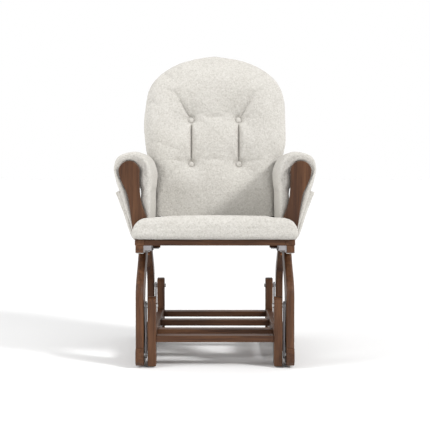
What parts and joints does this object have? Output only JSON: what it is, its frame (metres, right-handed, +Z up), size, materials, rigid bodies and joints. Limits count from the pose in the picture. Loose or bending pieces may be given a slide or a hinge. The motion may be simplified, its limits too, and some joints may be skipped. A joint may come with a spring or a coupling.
{
  "type": "glider chair",
  "caption": "Nursery glider chair: walnut frame on swinging steel links, cream boucle seat and buttoned arched back cushions, padded arms with side pockets.",
  "frame": {"origin": "on the floor, under the centre of the bounding box", "axes": "+Z up, front of the chair towards -Y, +X to the right seen from the front"},
  "size_m": [0.642, 0.66, 1.0322],
  "materials": {
    "boucle": "cream heathered boucle with beige-grey flecks",
    "walnut_wood": "walnut-brown stained hardwood, satin lacquer",
    "dowel_wood": "plain beech dowel",
    "grey_steel": "grey powder-coated steel plate",
    "bearing_steel": "bright machined steel",
    "zinc_steel": "zinc-plated steel",
    "nylon": "off-white nylon glide"
  },
  "bodies": {
    "base": {"base_leg_front_left": "walnut_wood", "base_leg_front_right": "walnut_wood", "base_leg_rear_left": "walnut_wood", "base_leg_rear_right": "walnut_wood", "base_side_rail_left": "walnut_wood", "base_side_rail_right": "walnut_wood", "base_cross_rail_front": "walnut_wood", "base_cross_rail_rear": "walnut_wood", "base_cross_rails_mid": "walnut_wood", "floor_glides": "nylon", "base_dowels": "dowel_wood", "upper_pivot_bolts": "zinc_steel", "upper_pivot_spacers": "zinc_steel"},
    "link_front_left_arm": {"link_front_left": "grey_steel", "link_bearings_front_left": "bearing_steel"},
    "link_front_right_arm": {"link_front_right": "grey_steel", "link_bearings_front_right": "bearing_steel"},
    "link_rear_left_arm": {"link_rear_left": "grey_steel", "link_bearings_rear_left": "bearing_steel"},
    "link_rear_right_arm": {"link_rear_right": "grey_steel", "link_bearings_rear_right": "bearing_steel"},
    "chair": {"arm_front_post_left": "walnut_wood", "arm_front_post_right": "walnut_wood", "arm_pad_left": "boucle", "arm_pad_right": "boucle", "arm_pocket_left": "boucle", "arm_pocket_right": "boucle", "arm_rear_post_left": "walnut_wood", "arm_rear_post_right": "walnut_wood", "armrest_left": "walnut_wood", "armrest_right": "walnut_wood", "back_bolts": "zinc_steel", "back_bottom_rail": "walnut_wood", "back_buttons": "boucle", "back_cushion": "boucle", "back_hoop_left": "walnut_wood", "back_hoop_right": "walnut_wood", "back_slats": "walnut_wood", "back_stile_left": "walnut_wood", "back_stile_right": "walnut_wood", "corner_brackets": "grey_steel", "frame_dowels": "dowel_wood", "lower_pivot_bolts": "zinc_steel", "lower_pivot_spacers": "zinc_steel", "seat_cushion": "boucle", "seat_front_rail": "walnut_wood", "seat_rear_rail": "walnut_wood", "seat_screws": "zinc_steel", "seat_side_rail_left": "walnut_wood", "seat_side_rail_right": "walnut_wood", "seat_slats": "walnut_wood", "side_lower_rail_left": "walnut_wood", "side_lower_rail_right": "walnut_wood", "side_post_front_left": "walnut_wood", "side_post_front_right": "walnut_wood", "side_post_rear_left": "walnut_wood", "side_post_rear_right": "walnut_wood", "side_top_rail_left": "walnut_wood", "side_top_rail_right": "walnut_wood"}
  },
  "joints": [
    {"name": "glide", "type": "hinge", "parent": "base", "child": "link_front_left_arm", "pos_m": [-0.218, -0.285, 0.194], "axis": [1, 0, 0], "range_deg": [-20, 20]},
    {"name": "swing_front_right", "type": "hinge", "parent": "base", "child": "link_front_right_arm", "pos_m": [0.218, -0.285, 0.194], "axis": [1, 0, 0], "range_deg": [-20, 20]},
    {"name": "swing_rear_left", "type": "hinge", "parent": "base", "child": "link_rear_left_arm", "pos_m": [-0.218, 0.255, 0.194], "axis": [1, 0, 0], "range_deg": [-20, 20]},
    {"name": "swing_rear_right", "type": "hinge", "parent": "base", "child": "link_rear_right_arm", "pos_m": [0.218, 0.255, 0.194], "axis": [1, 0, 0], "range_deg": [-20, 20]},
    {"name": "seat_level", "type": "hinge", "parent": "link_front_left_arm", "child": "chair", "pos_m": [-0.218, -0.285, 0.038], "axis": [1, 0, 0], "range_deg": [-20, 20]}
  ],
  "couplings": [
    {"joint": "swing_front_right", "follows": "glide", "ratio": 1},
    {"joint": "swing_rear_left", "follows": "glide", "ratio": 1},
    {"joint": "swing_rear_right", "follows": "glide", "ratio": 1},
    {"joint": "seat_level", "follows": "glide", "ratio": -1}
  ]
}
